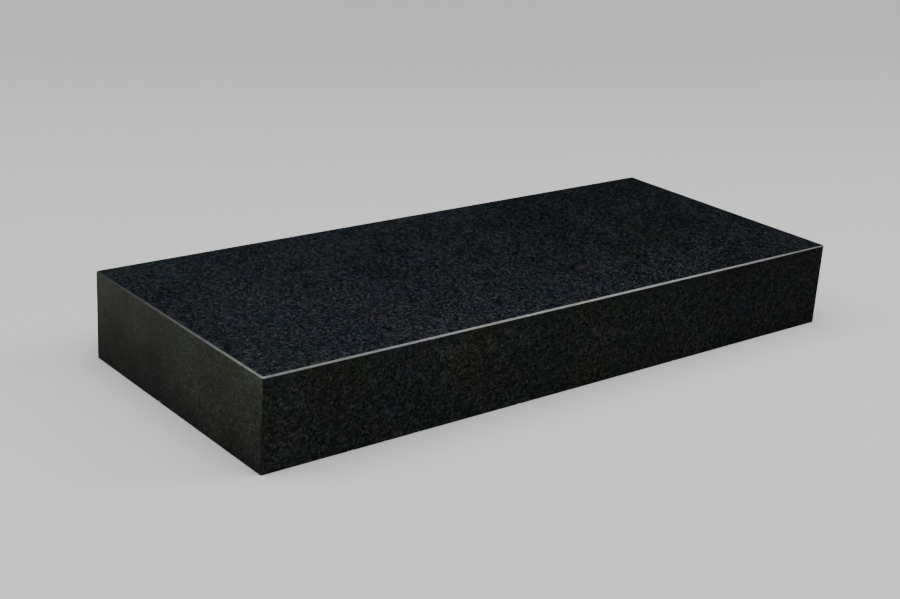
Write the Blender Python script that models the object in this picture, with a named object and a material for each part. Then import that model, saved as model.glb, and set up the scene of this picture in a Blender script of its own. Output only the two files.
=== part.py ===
"""Flat grave marker: one plain rectangular slab of black granite.

The stone is a single piece, sawn square. A narrow flat arris is ground round the top, the four
upright corners are rubbed down a little, and the underside keeps the edge that the saw left.

Metres, +Z up. The origin is the centre of the underside. +X runs along the length, and the long
side that the photograph shows faces -Y.
"""

import bmesh
import bpy

# Driving dimensions of the stone
LENGTH = 0.6096  # along X, 24 in
WIDTH = 0.2540  # along Y, 10 in
THICKNESS = 0.0762  # along Z, 3 in

# Edges
ARRIS_LEG = 0.0012  # each leg of the 45 degree arris round the top, about 3/64 in
CORNER_EASE = 0.0008  # how far the four upright corners are rubbed back
BASE_EASE = 0.0005  # how far the underside's edge is rubbed back

# Finish, read from the photograph: nearly black, faintly blue, with a satin polish
GRANITE_COLOUR = (0.0105, 0.0125, 0.0145, 1.0)
GRANITE_ROUGHNESS = 0.42
GRANITE_METALLIC = 0.0

COLLECTION_NAME = "flat_grave_marker"
SLAB_NAME = "granite_slab"

# An edge counts as level, or as belonging to a face, when it is this close to it
SAME_PLACE = 1e-6


def clear_scene():
    """Remove whatever the file holds, so that the model is the same each time."""
    for old in list(bpy.data.objects):
        bpy.data.objects.remove(old, do_unlink=True)


def make_collection():
    """The collection that holds the finished stone."""
    collection = bpy.data.collections.new(COLLECTION_NAME)
    bpy.context.scene.collection.children.link(collection)
    return collection


def make_granite():
    """Dark stone with a satin polish."""
    granite = bpy.data.materials.new("black_granite")
    granite.use_nodes = True
    shader = granite.node_tree.nodes["Principled BSDF"]
    shader.inputs["Base Color"].default_value = GRANITE_COLOUR
    shader.inputs["Roughness"].default_value = GRANITE_ROUGHNESS
    shader.inputs["Metallic"].default_value = GRANITE_METALLIC
    granite.diffuse_color = GRANITE_COLOUR
    return granite


def edges_at_height(bm, height):
    """The edges whose two ends both lie at one height."""
    return [e for e in bm.edges if all(abs(v.co.z - height) < SAME_PLACE for v in e.verts)]


def corner_edges(bm):
    """The upright edges, and the mitres where two arrises meet above them.

    Seen from above, these are the edges that run neither along X nor along Y.
    """
    found = []
    for edge in bm.edges:
        run = edge.verts[1].co - edge.verts[0].co
        along_x = abs(run.y) < SAME_PLACE and abs(run.x) > SAME_PLACE
        along_y = abs(run.x) < SAME_PLACE and abs(run.y) > SAME_PLACE
        if not along_x and not along_y:
            found.append(edge)
    return found


def bevel(bm, edges, leg):
    """Cut the edges back to one flat, by the same leg on each side."""
    bmesh.ops.bevel(
        bm,
        geom=edges,
        offset=leg,
        offset_type="OFFSET",
        segments=1,
        affect="EDGES",
    )


def make_slab(collection, granite):
    """The whole stone: a sawn block, its ground arris and its rubbed corners."""
    mesh = bpy.data.meshes.new(SLAB_NAME)
    bm = bmesh.new()
    bmesh.ops.create_cube(bm, size=1.0)
    bmesh.ops.scale(bm, vec=(LENGTH, WIDTH, THICKNESS), verts=bm.verts)
    bmesh.ops.translate(bm, vec=(0.0, 0.0, THICKNESS / 2), verts=bm.verts)

    bevel(bm, edges_at_height(bm, THICKNESS), ARRIS_LEG)
    bevel(bm, corner_edges(bm), CORNER_EASE)
    bevel(bm, edges_at_height(bm, 0.0), BASE_EASE)

    bmesh.ops.recalc_face_normals(bm, faces=bm.faces)
    bm.to_mesh(mesh)
    bm.free()

    slab = bpy.data.objects.new(SLAB_NAME, mesh)
    slab.data.materials.append(granite)
    collection.objects.link(slab)
    return slab


def main():
    clear_scene()
    make_slab(make_collection(), make_granite())


main()
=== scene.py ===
# %% [markdown]
# Flat grave marker, dressed for a portrait
#
# The real object is one slab of black granite, the gabbro or dolerite that the trade calls granite.
# A gang saw cuts it, the top and the long sides are polished, the ends are honed, and a hand
# grinder runs a narrow arris round the top edge. The construction model gives its exact size, and
# this script gives its skin. The first cell loads that model as a frame, which is never moved, and
# keeps its box for later.

# %% Load the frame
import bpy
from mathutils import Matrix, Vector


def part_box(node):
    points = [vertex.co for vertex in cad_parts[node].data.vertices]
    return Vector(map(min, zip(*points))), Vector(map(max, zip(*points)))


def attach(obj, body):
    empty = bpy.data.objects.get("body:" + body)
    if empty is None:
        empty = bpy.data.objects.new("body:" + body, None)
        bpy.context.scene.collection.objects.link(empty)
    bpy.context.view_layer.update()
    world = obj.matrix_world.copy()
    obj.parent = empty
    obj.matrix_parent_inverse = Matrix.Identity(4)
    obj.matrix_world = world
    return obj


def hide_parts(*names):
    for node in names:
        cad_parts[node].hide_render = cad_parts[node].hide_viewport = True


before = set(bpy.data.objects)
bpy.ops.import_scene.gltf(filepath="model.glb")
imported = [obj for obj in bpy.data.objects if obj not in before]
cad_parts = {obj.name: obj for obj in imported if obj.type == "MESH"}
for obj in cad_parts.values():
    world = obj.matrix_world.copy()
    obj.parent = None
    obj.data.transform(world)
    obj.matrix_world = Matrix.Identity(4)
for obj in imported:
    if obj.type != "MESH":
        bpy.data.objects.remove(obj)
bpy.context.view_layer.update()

print("frame nodes:", sorted(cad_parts))

# %% [markdown]
# Tools for the lesson
#
# Blender's own modules make the scene, and numpy works out every point of the stone as whole
# arrays. All sizes are in metres. One seed makes the chips fall in the same places every time.

# %% Modules, sizes and the seed
import math

import bpy
import numpy as np
from mathutils import Matrix, Vector

MM = 0.001
rng = np.random.default_rng(24)

lowest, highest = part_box("granite_slab")
HALF_LENGTH = highest.x
HALF_WIDTH = highest.y
THICKNESS = highest.z

slab_sides = (2 * HALF_LENGTH, 2 * HALF_WIDTH, THICKNESS)
print("slab, mm:", [round(float(side) / MM, 1) for side in slab_sides])

# %% [markdown]
# The plan of the stone
#
# Seen from above, the stone is a rectangle whose upright corners were rubbed with a carborundum
# block. Such an outline is the sum of two simpler walks: one round a sharp rectangle, and one round
# a small circle, which only turns at the corners. Keeping the two walks apart pays off, because the
# same columns then fit the outline at any inset, from the side of the stone to well inside its top.

# %% Columns round the plan
COLUMNS_LONG = 1056
COLUMNS_END = 432
COLUMNS_CORNER = 24
CORNER_RADIUS = 2.0 * MM
LEAST_RADIUS = 0.15 * MM


def walk_round():
    """Return each column's place on the rectangle and on the circle, both as shares.

    The rectangle's walk runs from corner to corner through (-1, -1), (1, -1), (1, 1) and (-1, 1).
    On a straight the circle's share stays square to the side. At a corner the rectangle's share
    stands still, and the circle's turns by a quarter.
    """
    corners = np.array([(-1, -1), (1, -1), (1, 1), (-1, 1)], float)
    on_rectangle = []
    on_circle = []
    for side in range(4):
        here = corners[side]
        there = corners[(side + 1) % 4]
        count = COLUMNS_LONG if side % 2 == 0 else COLUMNS_END
        share = np.arange(count)[:, None] / count
        on_rectangle.append(here + (there - here) * share)
        facing = math.radians(90 * side - 90)
        on_circle.append(np.tile([math.cos(facing), math.sin(facing)], (count, 1)))
        turn = facing + np.arange(COLUMNS_CORNER) / COLUMNS_CORNER * math.pi / 2
        on_rectangle.append(np.tile(there, (COLUMNS_CORNER, 1)))
        on_circle.append(np.column_stack([np.cos(turn), np.sin(turn)]))
    return np.vstack(on_rectangle), np.vstack(on_circle)


def outline(inset, step=1):
    """Return the plan's points at an inset from the side, for every column or every step-th one.

    A point is its rectangle share times the half sides less the radius, plus its circle share
    times the radius. The radius shrinks with the inset, down to a least one.
    """
    inset = np.broadcast_to(inset, len(SQUARE))[::step, None]
    radius = np.maximum(CORNER_RADIUS - inset, LEAST_RADIUS)
    half = np.array([HALF_LENGTH, HALF_WIDTH]) - inset
    return SQUARE[::step] * (half - radius) + ROUND[::step] * radius


SQUARE, ROUND = walk_round()
rim = outline(0.0)
steps = np.linalg.norm(np.roll(rim, -1, axis=0) - rim, axis=1)
ALONG = np.concatenate([[0.0], np.cumsum(steps)[:-1]])
PERIMETER = float(steps.sum())
print(f"{len(rim)} columns round {PERIMETER:.3f} m, {np.median(steps) / MM:.2f} mm apart")

# %% [markdown]
# The arris
#
# A sharp polished edge would chip at the first knock, so the mason grinds it off at 45 degrees.
# The wheel is held by hand: the flat wanders by a few hundredths of a millimetre, and here and
# there a crystal plucks out and leaves a shell-shaped nick. Each leg of the arris is a function of
# the distance round the stone: a base width, a slow wander made of a few waves that close on
# themselves, and short humps for the nicks. At the right of the front the wheel lifted early, and
# the arris narrows into that corner. The edge under the stone is left as the saw broke it.

# %% How wide the arris is at each column
ARRIS_LEG = 1.2 * MM
ARRIS_WANDER = 0.06 * MM
LIFTED_SHARE = 0.3
LIFTED_LENGTH = 110 * MM
BASE_EASE = 0.5 * MM
NICKS = 40
NICK_WIDTHS = (0.9 * MM, 2.2 * MM)
NICK_DEPTH = 0.3 * MM
NICK_LEAST_SHARE = 0.2
NICK_RARITY = 2.5
NICK_POWER = 1.5
BASE_NICKS = 90
BASE_NICK_WIDTHS = (1.5 * MM, 5.0 * MM)
BASE_NICK_DEPTH = 1.0 * MM


def wander(size, waves=(3, 5, 8, 13, 21, 34)):
    """Return a slow random drift round the stone: sine waves that fit the perimeter whole times."""
    turns = ALONG[:, None] / PERIMETER * 2 * math.pi * np.array(waves)
    phases = rng.uniform(0, 2 * math.pi, len(waves))
    weights = 1 / np.sqrt(np.arange(1, len(waves) + 1))
    drift = (np.sin(turns + phases) * weights).sum(axis=1)
    return size * drift / np.abs(drift).max()


def nicks(count, widths, most_depth):
    """Return random nicks, of which only a few are deep, as one depth for each column.

    A nick is a hump of its depth times (1 - (distance / half width) squared) to the power
    NICK_POWER. Its depth is the most depth times a random share to the power NICK_RARITY.
    """
    centres = rng.uniform(0, PERIMETER, count)
    spans = rng.uniform(*widths, count)
    depths = most_depth * rng.uniform(NICK_LEAST_SHARE, 1.0, count) ** NICK_RARITY
    gap = np.abs(ALONG[:, None] - centres)
    gap = np.minimum(gap, PERIMETER - gap)
    share = np.clip(1 - (gap / (spans / 2)) ** 2, 0, 1)
    return (depths * share**NICK_POWER).sum(axis=1)


def lifted():
    """Return the share of the arris kept at each column: one, less a half cosine at the corner."""
    corner = ALONG[COLUMNS_LONG + COLUMNS_CORNER // 2]
    near = np.clip(1 - np.abs(ALONG - corner) / LIFTED_LENGTH, 0, 1)
    return 1 - LIFTED_SHARE * (1 - np.cos(math.pi * near)) / 2


ground = ARRIS_LEG * lifted()
leg_down = ground + wander(ARRIS_WANDER) + nicks(NICKS, NICK_WIDTHS, NICK_DEPTH)
leg_in = ground + wander(ARRIS_WANDER) + nicks(NICKS, NICK_WIDTHS, NICK_DEPTH)
base_break = BASE_EASE + nicks(BASE_NICKS, BASE_NICK_WIDTHS, BASE_NICK_DEPTH)
print("arris leg, mm: least, most", np.round([leg_in.min() / MM, leg_in.max() / MM], 2))

# %% [markdown]
# The skin of the stone
#
# The surface is a profile carried along the plan: out from under the stone, up its side, over the
# arris and in over the top. Each row of it is one ring of columns with its own inset and height.
# The arris needs a column every 0.6 mm and the flat middle needs almost none, so the rings on the
# top and the underside halve their columns as they go in, with three triangles for two columns. A
# last flat face closes each. The other way would be a box with a Bevel modifier, which gives one
# perfect edge, and a perfect edge is what gives a computer-made stone away.

# %% Rings of the profile
SIDE_SHARES = (0.04, 0.12, 0.3, 0.5, 0.7, 0.88, 0.96)
ARRIS_SHARES = (0.2, 0.5, 0.8)
ARRIS_CROWN = 0.05 * MM
NICK_HOLLOW = 0.35
CAP_INSETS = (4 * MM, 7 * MM, 13 * MM, 25 * MM, 45 * MM, 80 * MM)


def ring(inset, height, step=1):
    """Return one ring of points: the plan at an inset, at a height."""
    plan = outline(inset, step)
    level = np.broadcast_to(height, len(SQUARE))[::step]
    return np.column_stack([plan, level])


def cap_rings(level):
    """Return the rings over a flat face, from its rim inwards, each with half the columns."""
    return [ring(inset, level, 2**halving) for halving, inset in enumerate(CAP_INSETS)]


def side_rings():
    """Return the rings up the side, from the underside's edge to the arris's upper edge.

    Across the arris the surface stands out by (ARRIS_CROWN - NICK_HOLLOW * plucked) * 4 * share *
    (1 - share), so it is slightly rounded, and hollow where a nick was plucked from it.
    """
    foot = base_break
    head = THICKNESS - leg_down
    found = [ring(base_break, 0.0), ring(0.0, foot)]
    found += [ring(0.0, foot + (head - foot) * share) for share in SIDE_SHARES]
    found.append(ring(0.0, head))
    plucked = (leg_in - ARRIS_LEG).clip(0) + (leg_down - ARRIS_LEG).clip(0)
    for share in ARRIS_SHARES:
        bulge = (ARRIS_CROWN - NICK_HOLLOW * plucked) * 4 * share * (1 - share) / math.sqrt(2)
        found.append(ring(leg_in * share - bulge, head + leg_down * share + bulge))
    found.append(ring(leg_in, THICKNESS))
    return found


rings = cap_rings(0.0)[::-1] + side_rings() + cap_rings(THICKNESS)
starts = np.concatenate([[0], np.cumsum([len(columns) for columns in rings])])
points = np.vstack(rings)
print(f"{len(rings)} rings, {len(points)} points")

# %% [markdown]
# Faces between the rings
#
# Two rings with as many columns are joined by quads. Where the next ring has half as many, two
# quads become three triangles. Every face is listed so that it points outwards, and carries the
# number of its finish: polished top, long side, end, arris or sawn underside.

# %% Join the rings
TOP, LONG_SIDE, END, ARRIS, UNDERSIDE = range(5)
facing_end = np.abs(ROUND[:, 0]) > np.abs(ROUND[:, 1])


def join(lower, upper):
    """Return the faces between two rings, given where each starts and how many columns it has."""
    low, low_count = lower
    up, up_count = upper
    fewest = min(low_count, up_count)
    here = np.arange(fewest)
    after = (here + 1) % fewest
    if low_count == up_count:
        return [np.column_stack([low + here, low + after, up + after, up + here])]
    first = 2 * here
    middle = first + 1
    last = (first + 2) % (2 * fewest)
    if low_count > up_count:
        return [
            np.column_stack([low + first, low + middle, up + here]),
            np.column_stack([low + middle, up + after, up + here]),
            np.column_stack([low + middle, low + last, up + after]),
        ]
    return [
        np.column_stack([low + here, up + middle, up + first]),
        np.column_stack([low + here, low + after, up + middle]),
        np.column_stack([low + after, up + last, up + middle]),
    ]


def band_finish(band, count):
    """Return the finish of each face in the band between two rings.

    The side has two more bands than shares, for its broken edge and its last stretch up to the
    arris. The arris has one more.
    """
    first_side = len(CAP_INSETS)
    first_arris = first_side + 2 + len(SIDE_SHARES)
    first_top = first_arris + len(ARRIS_SHARES) + 1
    if band < first_side:
        return np.full(count, UNDERSIDE)
    if band < first_arris:
        return np.where(facing_end, END, LONG_SIDE)
    if band < first_top:
        return np.full(count, ARRIS)
    return np.full(count, TOP)


faces = []
finishes = []
for band in range(len(rings) - 1):
    lower = (int(starts[band]), len(rings[band]))
    upper = (int(starts[band + 1]), len(rings[band + 1]))
    for group in join(lower, upper):
        faces += group.tolist()
        finishes.append(band_finish(band, len(group)))
faces.append(list(range(int(starts[1])))[::-1])
faces.append(list(range(int(starts[-2]), int(starts[-1]))))
finishes.append(np.array([UNDERSIDE, TOP]))
finishes = np.concatenate(finishes)
print(f"{len(faces)} faces")

# %% [markdown]
# Putting the skin into Blender
#
# from_pydata takes the points and the faces as they are. Flat faces stay flat because the edges
# of the arris are marked sharp by their angle, and the columns between them shade smoothly. A
# closed skin has two faces on each edge, and its volume can be read off with the divergence
# theorem, so the cell measures both and compares the volume with the construction model's box.

# %% The slab piece
SHARP_ANGLE = math.radians(24)


def mesh_volume(mesh):
    """Return the volume inside a closed mesh: a sixth of each triangle's corner triple product."""
    mesh.calc_loop_triangles()
    corners = np.zeros(len(mesh.vertices) * 3, np.float32)
    mesh.vertices.foreach_get("co", corners)
    index = np.zeros(len(mesh.loop_triangles) * 3, np.int32)
    mesh.loop_triangles.foreach_get("vertices", index)
    triangles = corners.reshape(-1, 3).astype(float)[index.reshape(-1, 3)]
    first, second, third = triangles.transpose(1, 0, 2)
    return float(np.einsum("ij,ij->i", first, np.cross(second, third)).sum() / 6)


slab_mesh = bpy.data.meshes.new("dressed_slab")
slab_mesh.from_pydata(points.tolist(), [], faces)
slab_mesh.polygons.foreach_set("material_index", finishes.astype(np.int32))
slab_mesh.shade_smooth()
slab_mesh.set_sharp_from_angle(angle=SHARP_ANGLE)
slab_mesh.update()
slab = bpy.data.objects.new("dressed_slab", slab_mesh)
bpy.context.scene.collection.objects.link(slab)

edges_in_faces = np.zeros(len(slab_mesh.loops), np.int32)
slab_mesh.loops.foreach_get("edge_index", edges_in_faces)
closed = bool((np.bincount(edges_in_faces) == 2).all())
stone_volume = mesh_volume(slab_mesh)
box_volume = 2 * HALF_LENGTH * 2 * HALF_WIDTH * THICKNESS
print(f"closed: {closed}, {len(slab_mesh.loop_triangles)} triangles")
print(f"volume {stone_volume * 1e6:.1f} cm3, its box {box_volume * 1e6:.1f} cm3")

# %% [markdown]
# Nodes in plain words
#
# A material is a tree of nodes. The first helper adds one, sets its options, and fills each input
# with either a value or the output of another node, so that a finish reads from top to bottom. The
# others are the few sums that the stone needs: a ramp of greys, products and sums of colours, a
# way to calm the speckle, and a value that slides from one number to another along one axis.


# %% Helpers for nodes
def add(tree, kind, inputs=None, **options):
    """Add a node to a tree, with its options set and its inputs filled or linked."""
    made = tree.nodes.new(kind)
    for name, value in options.items():
        setattr(made, name, value)
    for name, value in (inputs or {}).items():
        if isinstance(value, bpy.types.NodeSocket):
            tree.links.new(value, made.inputs[name])
        else:
            made.inputs[name].default_value = value
    return made


def grey_ramp(tree, factor, stops):
    """Return a grey that runs through stops of (place, brightness)."""
    made = tree.nodes.new("ShaderNodeValToRGB")
    tree.links.new(factor, made.inputs["Fac"])
    strip = made.color_ramp.elements
    while len(strip) < len(stops):
        strip.new(0.5)
    for slot, (place, brightness) in zip(strip, stops):
        slot.position = place
        slot.color = (brightness, brightness, brightness, 1.0)
    return made.outputs["Color"]


def times(tree, one, other):
    """Return the product of two colours or of a colour and a value, channel by channel."""
    return add(tree, "ShaderNodeVectorMath", {0: one, 1: other}, operation="MULTIPLY").outputs[0]


def times_plus(tree, one, other, more):
    """Return one times other plus more, channel by channel."""
    made = add(
        tree,
        "ShaderNodeVectorMath",
        {0: one, 1: other, 2: more},
        operation="MULTIPLY_ADD",
    )
    return made.outputs[0]


def soften(tree, stone, tone, share):
    """Keep a share of each crystal's departure from one tone: (stone - tone) * share + tone."""
    departure = add(tree, "ShaderNodeVectorMath", {0: stone, 1: tone}, operation="SUBTRACT")
    return times_plus(tree, departure.outputs[0], share, tone)


def slide(tree, value, start, end):
    """Return a value that goes smoothly from one (place, size) to another as the input does."""
    made = add(
        tree,
        "ShaderNodeMapRange",
        {
            "Value": value,
            "From Min": start[0],
            "From Max": end[0],
            "To Min": start[1],
            "To Max": end[1],
        },
        interpolation_type="SMOOTHSTEP",
    )
    return made.outputs["Result"]


print("node helpers ready")

# %% [markdown]
# Crystals
#
# The stone is black pyroxene with laths of grey feldspar between, one or two millimetres long. On
# the real thing the crystals go right through, so the pattern is solid: three-dimensional cells on
# Object coordinates, with no unwrapping and no seam within a face. Two fields of stretched cells
# lie at different angles, and a coarse noise picks between them. Each cell draws two random
# numbers, one for how light the crystal is and one for its tint. A finer polish shows smaller
# crystals, so each finish says how fine it makes them look along each axis.

# %% Crystal fields
CRYSTAL_SIZE = 1.75 * MM
RAGGED_EDGE = 1.3 * MM
RAGGED_SCALE = 900.0
FIELD_TURNS = ((0.4, 0.9, 0.3), (1.2, 0.2, 1.4))
FIELD_STRETCHES = ((1.0, 0.55, 1.0), (0.6, 1.0, 1.0))
CHOOSER_SCALE = 260.0


def crystal_field(tree, place, turn, stretch):
    """Return the random numbers of cells that are turned by some angles and stretched."""
    laid = add(
        tree,
        "ShaderNodeMapping",
        {"Vector": place, "Rotation": turn, "Scale": stretch},
        vector_type="POINT",
    )
    cells = add(
        tree,
        "ShaderNodeTexVoronoi",
        {"Vector": laid.outputs["Vector"], "Scale": 1 / CRYSTAL_SIZE, "Randomness": 1.0},
        voronoi_dimensions="3D",
        feature="F1",
    )
    return add(tree, "ShaderNodeSeparateColor", {"Color": cells.outputs["Color"]})


def crystals(tree, place, fineness):
    """Return two random numbers for each crystal, whose outlines are made ragged by a noise.

    The place is multiplied by the fineness, axis by axis, so 2 along one axis halves them there.
    """
    scaled = times(tree, place, fineness)
    ragged = add(
        tree,
        "ShaderNodeTexNoise",
        {"Vector": scaled, "Scale": RAGGED_SCALE, "Detail": 2.0, "Roughness": 0.6},
    )
    centred = add(
        tree,
        "ShaderNodeVectorMath",
        {0: ragged.outputs["Color"], 1: (0.5, 0.5, 0.5)},
        operation="SUBTRACT",
    )
    shifted = times_plus(tree, centred.outputs[0], (RAGGED_EDGE,) * 3, scaled)
    one = crystal_field(tree, shifted, FIELD_TURNS[0], FIELD_STRETCHES[0])
    other = crystal_field(tree, shifted, FIELD_TURNS[1], FIELD_STRETCHES[1])
    chooser = add(
        tree,
        "ShaderNodeTexNoise",
        {"Vector": scaled, "Scale": CHOOSER_SCALE, "Detail": 0.0},
    )
    pick = add(tree, "ShaderNodeMath", {0: chooser.outputs["Fac"], 1: 0.5}, operation="GREATER_THAN")
    picked = []
    for channel in ("Red", "Green"):
        mixed = add(
            tree,
            "ShaderNodeMix",
            {"Factor": pick.outputs[0], "A": one.outputs[channel], "B": other.outputs[channel]},
            data_type="FLOAT",
        )
        picked.append(mixed.outputs["Result"])
    return picked


print(f"crystals about {CRYSTAL_SIZE / MM:.2f} mm across")

# %% [markdown]
# Tint and tone
#
# No slab is one colour. Seen up close each crystal leans a little to a cool tint or a warm one, and
# over a few fingers' width the whole stone drifts in hue, because the melt it froze from was never
# quite even. It is also painted darker towards +X, as painted shade for light that falls off along
# the stone. The crystal's second random number picks its tint, the three channels of a slow noise
# shift the hue of each neighbourhood, another slow noise sets the tone, and a slide along X paints
# that shade.

# %% Tint and tone of the stone
PATCH_SCALE = 27.0
PATCH_STRENGTH = np.array([0.90, 0.58, 0.90])
CLOUD_SCALE = 11.0
CLOUD_DEPTH = 0.12
CLOUD_LOW = 0.3
CLOUD_HIGH = 0.7
PAINTED_SHADE_ALONG_X = 0.22


def tint(tree, leaning, cool, warm):
    """Return the crystal's own tint, which its leaning picks between cool and warm."""
    apart = np.subtract(warm, cool)
    return times_plus(tree, leaning, apart, cool)


def neighbourhood(tree, place, patchiness):
    """Return the hue of the stone round here times its lightness, with painted shade towards +X."""
    patch = add(
        tree,
        "ShaderNodeTexNoise",
        {"Vector": place, "Scale": PATCH_SCALE, "Detail": 3.0, "Roughness": 0.7},
    )
    strength = PATCH_STRENGTH * patchiness
    hue = times_plus(tree, patch.outputs["Color"], strength, 1 - strength / 2)
    cloud = add(
        tree,
        "ShaderNodeTexNoise",
        {"Vector": place, "Scale": CLOUD_SCALE, "Detail": 3.0, "Roughness": 0.6},
    )
    axes = add(tree, "ShaderNodeSeparateXYZ", {"Vector": place})
    clouded = slide(
        tree,
        cloud.outputs["Fac"],
        (CLOUD_LOW, 1 - CLOUD_DEPTH),
        (CLOUD_HIGH, 1 + CLOUD_DEPTH),
    )
    # Painted shade: the whole stone darkens steadily towards +X, for light that falls off along it.
    drift = slide(
        tree,
        axes.outputs["X"],
        (-HALF_LENGTH, 1 + PAINTED_SHADE_ALONG_X),
        (HALF_LENGTH, 1 - PAINTED_SHADE_ALONG_X),
    )
    return times(tree, times(tree, hue, clouded), drift)


# The drift along X printed here is painted shade.
print(f"tone drifts by {100 * PAINTED_SHADE_ALONG_X:.0f} per cent each way along the stone")

# %% [markdown]
# One stone, many finishes
#
# Every finish starts from the same crystals, and the wheel decides how they show. A polish is dark
# and shows every crystal, a honed face scatters light and looks greyer and flatter, and a ground
# arris is the palest of all, partly by a painted highlight. This function makes any of them from
# its greys, its two tints, a tint added to every crystal, its gloss and the relief that the wheel
# left. That added tint tells in the dark crystals and is lost in the light ones. On the polished top
# it is a painted reflection of sky, and on the long sides one of grass. A finish that needs more,
# such as a stain or painted shade, hands over a function of its own, which reworks the crystals'
# colour before the neighbourhood is laid over it.


# %% The granite
def granite(
    name,
    greys,
    cool,
    warm,
    roughness,
    roughness_spread,
    specular,
    relief,
    relief_scale,
    added_tint=(0.0, 0.0, 0.0),
    fineness=(1.0, 1.0, 1.0),
    patchiness=1.0,
    rework=None,
):
    """Make one finish of the stone and return its material and the place that it reads."""
    made = bpy.data.materials.new(name)
    made.use_nodes = True
    tree = made.node_tree
    shader = tree.nodes["Principled BSDF"]
    place = tree.nodes.new("ShaderNodeTexCoord").outputs["Object"]
    lightness, leaning = crystals(tree, place, fineness)
    grey = grey_ramp(tree, lightness, greys)
    stone = times_plus(tree, grey, tint(tree, leaning, cool, warm), added_tint)
    if rework:
        stone = rework(tree, stone, place)
    stone = times(tree, stone, neighbourhood(tree, place, patchiness))
    tree.links.new(stone, shader.inputs["Base Color"])

    gloss = add(
        tree,
        "ShaderNodeMath",
        {0: leaning, 1: roughness_spread, 2: roughness - roughness_spread / 2},
        operation="MULTIPLY_ADD",
    )
    tree.links.new(gloss.outputs[0], shader.inputs["Roughness"])
    shader.inputs["Specular IOR Level"].default_value = specular

    grain = add(tree, "ShaderNodeTexNoise", {"Vector": place, "Scale": relief_scale, "Detail": 3.0})
    bump = add(
        tree,
        "ShaderNodeBump",
        {"Strength": 1.0, "Distance": relief, "Height": grain.outputs["Fac"]},
    )
    tree.links.new(bump.outputs["Normal"], shader.inputs["Normal"])
    return made, place


print("granite ready")

# %% [markdown]
# The two polished finishes
#
# The values began as estimates from the photograph and were trimmed until the render's tones agreed
# with it. The dark crystals keep a little light, because a satin polish is never a mirror. The
# top's black is painted blue, a painted reflection of sky, and the long sides' is neutral with a
# touch of green, a painted reflection of grass. The sides are nearly without gloss, because a glossy
# side would mirror the studio's pale floor and lose its black. A polishing head tips a little as it
# runs off an edge, so the crystals are calmer along the back of the top, along its right, and on the
# sides just under the arris. Two slides paint shade and follow the tone in the photograph: the top
# darkens from the front to just past its middle, and the long sides from their middle towards +X.

# %% Polished top and long sides
# The top's blue cast here and in its tints is a painted reflection of sky.
TOP_TONE = (0.0092, 0.0118, 0.0143)
TOP_SPECKLE = (1.29, 1.19)
# The top's painted shade: its gain at the front and just past the middle.
TOP_PAINTED_SHADE = (1.05, 0.88)
TOP_DARK_BY = 0.2 * HALF_WIDTH
TOP_SPECKLE_ALONG = (0.88, 1.17)
# The long sides' green cast here and in their tints is a painted reflection of grass.
SIDE_TONE = (0.0098, 0.0114, 0.0104)
SIDE_SPECKLE = (0.95, 1.02)
# The long sides' painted shade: its gain at their middle and at +X.
SIDE_PAINTED_SHADE = (1.0, 0.86)
RIM_WIDTH = 24 * MM
RIM_SPECKLE = 0.7
HEAD_WIDTH = 14 * MM
HEAD_SPECKLE = 0.5


def calm_and_shade_top(tree, stone, place):
    """Rework the polished top.

    The speckle calms a little from front to back, livens towards +X, and calms again at the back
    and right rims. Painted shade darkens the tone from the front to TOP_DARK_BY, just past the
    middle.
    """
    axes = add(tree, "ShaderNodeSeparateXYZ", {"Vector": place})
    along = axes.outputs["X"]
    across = axes.outputs["Y"]
    calm = slide(tree, across, (-HALF_WIDTH, TOP_SPECKLE[0]), (HALF_WIDTH, TOP_SPECKLE[1]))
    lively = slide(
        tree,
        along,
        (-HALF_LENGTH, TOP_SPECKLE_ALONG[0]),
        (HALF_LENGTH, TOP_SPECKLE_ALONG[1]),
    )
    back = slide(tree, across, (HALF_WIDTH - RIM_WIDTH, 1.0), (HALF_WIDTH, RIM_SPECKLE))
    right = slide(tree, along, (HALF_LENGTH - RIM_WIDTH, 1.0), (HALF_LENGTH, RIM_SPECKLE))
    share = times(tree, times(tree, calm, lively), times(tree, back, right))
    # Painted shade: the top darkens from the front to just past its middle.
    light = slide(tree, across, (-HALF_WIDTH, TOP_PAINTED_SHADE[0]), (TOP_DARK_BY, TOP_PAINTED_SHADE[1]))
    return times(tree, soften(tree, stone, TOP_TONE, share), light)


def calm_and_shade_side(tree, stone, place):
    """Make a long side livelier towards +X, paint shade on it past its middle, calm it at the head.
    """
    axes = add(tree, "ShaderNodeSeparateXYZ", {"Vector": place})
    along = axes.outputs["X"]
    up = axes.outputs["Z"]
    calm = slide(tree, along, (-HALF_LENGTH, SIDE_SPECKLE[0]), (HALF_LENGTH, SIDE_SPECKLE[1]))
    head = slide(tree, up, (THICKNESS - HEAD_WIDTH, 1.0), (THICKNESS, HEAD_SPECKLE))
    # Painted shade: the long side darkens from its middle towards +X.
    light = slide(tree, along, (0.0, SIDE_PAINTED_SHADE[0]), (HALF_LENGTH, SIDE_PAINTED_SHADE[1]))
    return times(tree, soften(tree, stone, SIDE_TONE, times(tree, calm, head)), light)


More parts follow.
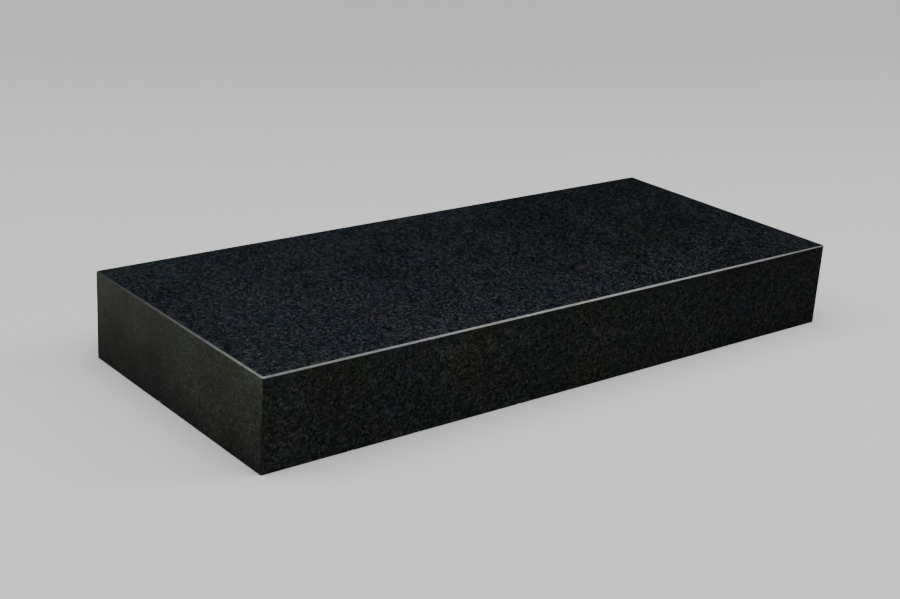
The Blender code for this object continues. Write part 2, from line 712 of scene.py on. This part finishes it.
top_polish, _ = granite(
    "polished_top",
    [(0.0, 0.0014), (0.25, 0.0038), (0.5, 0.0082), (0.75, 0.0160), (0.92, 0.0275), (1.0, 0.043)],
    # Painted reflection: the blue in these tints and the added tint stands for reflected sky.
    cool=(0.911, 0.99, 1.058),
    warm=(0.956, 0.99, 1.01),
    roughness=0.32,
    roughness_spread=0.08,
    specular=0.12,
    relief=0.01 * MM,
    relief_scale=700.0,
    added_tint=(0.0, 0.0015, 0.0033),
    fineness=(1.35, 1.35, 1.35),
    rework=calm_and_shade_top,
)
side_polish, _ = granite(
    "polished_side",
    [(0.0, 0.0043), (0.25, 0.0076), (0.5, 0.0128), (0.75, 0.0190), (0.92, 0.0268), (1.0, 0.036)],
    # Painted reflection: the green in these tints and the added tint stands for reflected grass.
    cool=(0.885, 1.0, 0.955),
    warm=(0.94, 1.0, 0.895),
    roughness=0.36,
    roughness_spread=0.08,
    specular=0.008,
    relief=0.01 * MM,
    relief_scale=700.0,
    added_tint=(0.0, 0.0011, 0.0008),
    rework=calm_and_shade_side,
)
print("polished:", top_polish.name, side_polish.name)

# %% [markdown]
# The honed ends
#
# The ends stop at a coarser grit, so they scatter more light and show their crystals faintly: most
# at the foot, and least towards the back, where the hone rubbed them flattest. They look warmer, and
# that warm green cast is a painted reflection of grass and leaves. The back is a shade paler, as
# painted light, and a strip of 40 mm by the front corner is paler still. The ends darken steadily to
# the foot and turn from a greenish grey to a plain one: this is painted shade, a slide up the
# height, made uneven by a noise, and never a straight line.

# %% Honed ends
# The ends' green-yellow cast in this tone and in their tints is a painted reflection of grass and
# leaves.
END_TONE = (0.0260, 0.0292, 0.0210)
END_SPECKLE = (0.65, 0.25)
CRISP_UP_TO = -0.6 * HALF_WIDTH
FLATTEST_FROM = 0.85 * HALF_WIDTH
# Painted light: each end is made a shade paler towards its back.
PALER_FROM = 0.1 * HALF_WIDTH
PALER_GAIN = 1.08
END_SPECKLE_UP = (1.65, 0.85)
PALE_STRIP_WIDTH = 40 * MM
PALE_STRIP_GAIN = 1.38
STAIN_SCALE = 19.0
STAIN_STRENGTH = 0.7
# Painted shade at the foot of the ends: where it fades out, how far a noise shifts it, and its
# colour.
FOOT_SHADE_FROM = -10 * MM
FOOT_SHADE_TOP = 82 * MM
FOOT_SHADE_WANDER = 75 * MM
FOOT_SHADE_COLOUR = np.array([0.318, 0.286, 0.362])


def hone_and_paint_shade(tree, stone, place):
    """Rework the honed end.

    The crystals calm towards the back and liven towards the foot. The back, as painted light, and
    the strip by the front corner are paler. One noise stains the end and also shifts how high the
    painted shade at the foot darkens it.
    """
    axes = add(tree, "ShaderNodeSeparateXYZ", {"Vector": place})
    across = axes.outputs["Y"]
    up = axes.outputs["Z"]
    calm = slide(tree, across, (CRISP_UP_TO, END_SPECKLE[0]), (FLATTEST_FROM, END_SPECKLE[1]))
    lively = slide(tree, up, (0.0, END_SPECKLE_UP[0]), (THICKNESS, END_SPECKLE_UP[1]))
    softened = soften(tree, stone, END_TONE, times(tree, calm, lively))
    corner_strip = slide(tree, across, (-HALF_WIDTH, PALE_STRIP_GAIN), (PALE_STRIP_WIDTH - HALF_WIDTH, 1.0))
    # Painted light: the back of the end is made paler.
    paler = slide(tree, across, (PALER_FROM, 1.0), (HALF_WIDTH, PALER_GAIN))
    stain_and_shade_noise = add(
        tree,
        "ShaderNodeTexNoise",
        {"Vector": place, "Scale": STAIN_SCALE, "Detail": 3.0, "Roughness": 0.6},
    )
    stain = times_plus(
        tree,
        stain_and_shade_noise.outputs["Fac"],
        (STAIN_STRENGTH,) * 3,
        (1 - STAIN_STRENGTH / 2,) * 3,
    )
    # Painted shade: the end darkens and cools towards the foot, up to a height that the noise
    # shifts.
    height = add(
        tree,
        "ShaderNodeMath",
        {0: stain_and_shade_noise.outputs["Fac"], 1: FOOT_SHADE_WANDER, 2: up},
        operation="MULTIPLY_ADD",
    ).outputs[0]
    offset = FOOT_SHADE_WANDER / 2
    unshaded = slide(tree, height, (FOOT_SHADE_FROM + offset, 0.0), (FOOT_SHADE_TOP + offset, 1.0))
    foot_shade = times_plus(tree, unshaded, 1 - FOOT_SHADE_COLOUR, FOOT_SHADE_COLOUR)
    stains_and_painted_light = times(tree, times(tree, stain, foot_shade), times(tree, corner_strip, paler))
    return times(tree, softened, stains_and_painted_light)


end_hone, _ = granite(
    "honed_end",
    [(0.0, 0.0105), (0.5, 0.0265), (0.85, 0.044), (1.0, 0.062)],
    # Painted reflection: the green-yellow of these tints stands for reflected grass and leaves.
    cool=(0.88, 1.0, 0.80),
    warm=(0.96, 1.0, 0.70),
    roughness=0.55,
    roughness_spread=0.08,
    specular=0.04,
    relief=0.02 * MM,
    relief_scale=900.0,
    fineness=(1.0, 1.0, 1.3),
    patchiness=0.75,
    rework=hone_and_paint_shade,
)
# The fade printed here is that of the painted shade at the foot.
print(f"damp fades out from {FOOT_SHADE_FROM / MM:.0f} to {FOOT_SHADE_TOP / MM:.0f} mm above the ground")
print(f"the stone's top is at {THICKNESS / MM:.1f} mm, so a trace reaches it")

# %% [markdown]
# The ground arris
#
# Grinding bruises the crystals pale, and part of the arris's paleness is a painted highlight. The
# painted highlight is brightest along the front, most of all along its middle, and fades into both
# of its corners; the left end's arris gets a little more of it. Round the ends painted shade dulls
# the arris steadily towards the back.

# %% Ground arris
# Painted highlight and shade on the arris: what is kept at the back, how it rises to the front, how
# it fades into the front's corners, and the lift on the left end.
ARRIS_BACK_SHADE = 0.15
ARRIS_SHADE_POWER = 1.6
LEFT_CORNER_SHADE = 0.73
LEFT_CORNER_SHADE_LENGTH = 360 * MM
LEFT_END_HIGHLIGHT = 1.36
LEFT_END_HIGHLIGHT_REACH = 3 * MM
RIGHT_CORNER_SHADE = 0.48
RIGHT_CORNER_SHADE_LENGTH = 200 * MM


def paint_arris_highlight(tree, stone, place):
    """Brighten the arris with painted highlight and shade.

    From back to front it rises as ARRIS_BACK_SHADE + (1 - ARRIS_BACK_SHADE) * share to the power
    ARRIS_SHADE_POWER. Along the front it slides up from the left corner and down to the right one,
    and the left end's arris carries a little more painted highlight than the front's beginning.
    """
    axes = add(tree, "ShaderNodeSeparateXYZ", {"Vector": place})
    forward = add(
        tree,
        "ShaderNodeMapRange",
        {"Value": axes.outputs["Y"], "From Min": HALF_WIDTH, "From Max": -HALF_WIDTH},
    )
    risen = add(
        tree,
        "ShaderNodeMath",
        {0: forward.outputs["Result"], 1: ARRIS_SHADE_POWER},
        operation="POWER",
    )
    # Painted shade: the arris dulls from front to back.
    highlight_share = times_plus(tree, risen.outputs[0], (1 - ARRIS_BACK_SHADE,) * 3, (ARRIS_BACK_SHADE,) * 3)
    along = axes.outputs["X"]
    left = -HALF_LENGTH
    right = HALF_LENGTH
    # Painted highlight and shade along the front, and a little more highlight on the left end's
    # arris.
    left_shade = slide(tree, along, (left, LEFT_CORNER_SHADE), (left + LEFT_CORNER_SHADE_LENGTH, 1.0))
    end_highlight = slide(tree, along, (left, LEFT_END_HIGHLIGHT), (left + LEFT_END_HIGHLIGHT_REACH, 1.0))
    right_shade = slide(tree, along, (right - RIGHT_CORNER_SHADE_LENGTH, 1.0), (right, RIGHT_CORNER_SHADE))
    return times(tree, times(tree, stone, highlight_share), times(tree, times(tree, left_shade, end_highlight), right_shade))


# The arris's pale greys are partly the ground finish's own colour and partly a painted highlight.
arris_ground, _ = granite(
    "ground_arris",
    [(0.0, 0.14), (0.5, 0.17), (1.0, 0.21)],
    cool=(0.97, 1.0, 1.0),
    warm=(1.0, 1.0, 0.98),
    roughness=0.4,
    roughness_spread=0.08,
    specular=0.5,
    relief=0.02 * MM,
    relief_scale=1400.0,
    patchiness=0.3,
    rework=paint_arris_highlight,
)
# The dulling towards the back is painted shade.
print("arris keeps", ARRIS_BACK_SHADE, "of its brightness at the back")

# %% [markdown]
# The sawn underside
#
# Nobody polishes what lies on the ground. The blades of a gang saw swing to and fro and leave fine
# parallel lines, so this finish adds a wave to its relief. A wave texture of scale one repeats
# every pi / 10 metres, and its scale follows from that and the pitch of the lines.

# %% Sawn underside
SAW_LINE_PITCH = 3.0 * MM
SAW_LINE_DEPTH = 0.12 * MM
SAW_LINE_WOBBLE = 1.2

underside_sawn, sawn_place = granite(
    "sawn_underside",
    [(0.0, 0.05), (0.5, 0.07), (1.0, 0.11)],
    cool=(0.96, 1.0, 1.02),
    warm=(1.02, 1.0, 0.94),
    roughness=0.75,
    roughness_spread=0.1,
    specular=0.2,
    relief=0.08 * MM,
    relief_scale=500.0,
)
tree = underside_sawn.node_tree
saw_lines = add(
    tree,
    "ShaderNodeTexWave",
    {
        "Vector": sawn_place,
        "Scale": math.pi / (10 * SAW_LINE_PITCH),
        "Distortion": SAW_LINE_WOBBLE,
        "Detail": 2.0,
    },
    wave_type="BANDS",
    bands_direction="X",
)
grain_bump = next(node for node in tree.nodes if node.bl_idname == "ShaderNodeBump")
line_bump = add(
    tree,
    "ShaderNodeBump",
    {
        "Strength": 1.0,
        "Distance": SAW_LINE_DEPTH,
        "Height": saw_lines.outputs["Fac"],
        "Normal": grain_bump.outputs["Normal"],
    },
)
tree.links.new(line_bump.outputs["Normal"], tree.nodes["Principled BSDF"].inputs["Normal"])

for finish in (top_polish, side_polish, end_hone, arris_ground, underside_sawn):
    slab_mesh.materials.append(finish)
print("finishes:", [finish.name for finish in slab_mesh.materials])

# %% [markdown]
# Riding on the frame
#
# The stone has no joint, so its one body is called root. The dressed slab stands for the plain
# one, which stays in the frame for weight and collision.

# %% Hand the piece to the frame
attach(slab, "root")
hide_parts("granite_slab")

# %% [markdown]
# The floor
#
# A wide, pale, matt sheet lies under the stone. It fills the picture, and it isn't part of the
# object. The lamps hang close to the stone and their light dies away within a few metres, so the
# sheet glows faintly from a metre out and stays pale in low views too. Farther out the glow
# falls off as one over the distance. Seen at a low angle that is an even ramp down to the dark of
# the studio, so the sheet shows no edge. There is no wall behind it on purpose, because the
# polished top would mirror a pale one and lose its black. The glow is too faint to light the
# stone, so it isn't sampled as a lamp, which would only add noise.

# %% Floor
FLOOR_HALF = 60.0
FLOOR_COLOUR = (0.76, 0.76, 0.75, 1.0)
FLOOR_ROUGHNESS = 0.9
FLOOR_SPECULAR = 0.1
GLOW_FROM = 1.0
GLOW_FULL_AT = 3.8
GLOW_STRENGTH = 0.42

floor_plan = FLOOR_HALF * np.array([(-1, -1, 0), (1, -1, 0), (1, 1, 0), (-1, 1, 0)])
floor_mesh = bpy.data.meshes.new("studio_floor")
floor_mesh.from_pydata(floor_plan.tolist(), [], [(0, 1, 2, 3)])
floor = bpy.data.objects.new("studio_floor", floor_mesh)
bpy.context.scene.collection.objects.link(floor)

floor_paint = bpy.data.materials.new("pale_floor")
floor_paint.use_nodes = True
floor_tree = floor_paint.node_tree
floor_shader = floor_tree.nodes["Principled BSDF"]
floor_shader.inputs["Base Color"].default_value = FLOOR_COLOUR
floor_shader.inputs["Roughness"].default_value = FLOOR_ROUGHNESS
floor_shader.inputs["Specular IOR Level"].default_value = FLOOR_SPECULAR
floor_shader.inputs["Emission Color"].default_value = FLOOR_COLOUR
floor_place = floor_tree.nodes.new("ShaderNodeTexCoord").outputs["Object"]
far = add(floor_tree, "ShaderNodeVectorMath", {0: floor_place}, operation="LENGTH").outputs["Value"]
rise = slide(floor_tree, far, (GLOW_FROM, 0.0), (GLOW_FULL_AT, GLOW_STRENGTH * GLOW_FULL_AT))
glow = add(floor_tree, "ShaderNodeMath", {0: rise, 1: far}, operation="DIVIDE")
floor_tree.links.new(glow.outputs[0], floor_shader.inputs["Emission Strength"])
floor_paint.cycles.emission_sampling = "NONE"
floor_mesh.materials.append(floor_paint)
print("floor is", 2 * FLOOR_HALF, "m square")

# %% [markdown]
# The light
#
# Polished black stone shows what it mirrors more than what falls on it. The studio around it is
# therefore dim. A large soft panel hangs overhead, a little to the camera's side, where the top
# doesn't mirror it. A second one stands to the right, where the arris of the long side does, and
# a third behind on the left lifts the end and its arris off the long side.

# %% World and lamps
STUDIO_COLOUR = (0.9, 0.95, 1.0, 1.0)
STUDIO_STRENGTH = 0.02


def soft_panel(name, place, aim, width, height, watts):
    """Add a rectangular lamp at a place, turned to face a point."""
    lamp = bpy.data.lights.new(name, "AREA")
    lamp.shape = "RECTANGLE"
    lamp.size = width
    lamp.size_y = height
    lamp.energy = watts
    holder = bpy.data.objects.new(name, lamp)
    holder.rotation_mode = "QUATERNION"
    holder.rotation_quaternion = (Vector(aim) - Vector(place)).to_track_quat("-Z", "Y")
    holder.location = place
    bpy.context.scene.collection.objects.link(holder)
    return holder


world = bpy.data.worlds.new("dim_studio")
world.use_nodes = True
backdrop = world.node_tree.nodes["Background"]
backdrop.inputs["Color"].default_value = STUDIO_COLOUR
backdrop.inputs["Strength"].default_value = STUDIO_STRENGTH
bpy.context.scene.world = world

panels = [
    soft_panel(
        "overhead_panel",
        place=(-0.4, -0.4, 2.8),
        aim=(-0.1, 0.0, 0.0),
        width=3.6,
        height=3.6,
        watts=112.0,
    ),
    soft_panel(
        "side_panel",
        place=(1.5, -0.8, 1.35),
        aim=(0.05, 0.0, 0.05),
        width=0.8,
        height=0.8,
        watts=15.0,
    ),
    soft_panel(
        "end_panel",
        place=(-1.6, 0.8, 1.7),
        aim=(-0.2, 0.0, 0.05),
        width=0.9,
        height=0.9,
        watts=12.0,
    ),
]
print("lamps:", [panel.name for panel in panels])

# %% [markdown]
# The camera
#
# The seven corners of the stone that show in the photograph fix where it was taken from: about
# 1.1 m from the near corner and half a metre up, turned towards the long side, and tipped a few
# degrees. A rotation about the upright axis, then a tilt, then a roll about the line of sight
# gives the same attitude in Blender, whose cameras look down their own -Z.

# %% Camera
CAMERA_PLACE = (-0.8466, -0.9804, 0.5125)
CAMERA_HEADING = math.radians(-39.60)
CAMERA_PITCH = math.radians(20.24)
CAMERA_ROLL = math.radians(3.61)
LENS_MM = 62.89
SENSOR_MM = 36.0
CLIP_END = 100.0

camera_data = bpy.data.cameras.new("portrait_camera")
camera_data.lens = LENS_MM
camera_data.sensor_width = SENSOR_MM
camera_data.clip_end = CLIP_END
camera = bpy.data.objects.new("portrait_camera", camera_data)
heading = Matrix.Rotation(CAMERA_HEADING, 4, "Z")
tilt = Matrix.Rotation(math.pi / 2 - CAMERA_PITCH, 4, "X")
roll = Matrix.Rotation(CAMERA_ROLL, 4, "Z")
camera.matrix_world = Matrix.Translation(CAMERA_PLACE) @ heading @ tilt @ roll
bpy.context.scene.collection.objects.link(camera)
bpy.context.scene.camera = camera
near_corner = Vector((-HALF_LENGTH, -HALF_WIDTH, THICKNESS))
print(f"camera {(Vector(CAMERA_PLACE) - near_corner).length:.2f} m from the near corner")
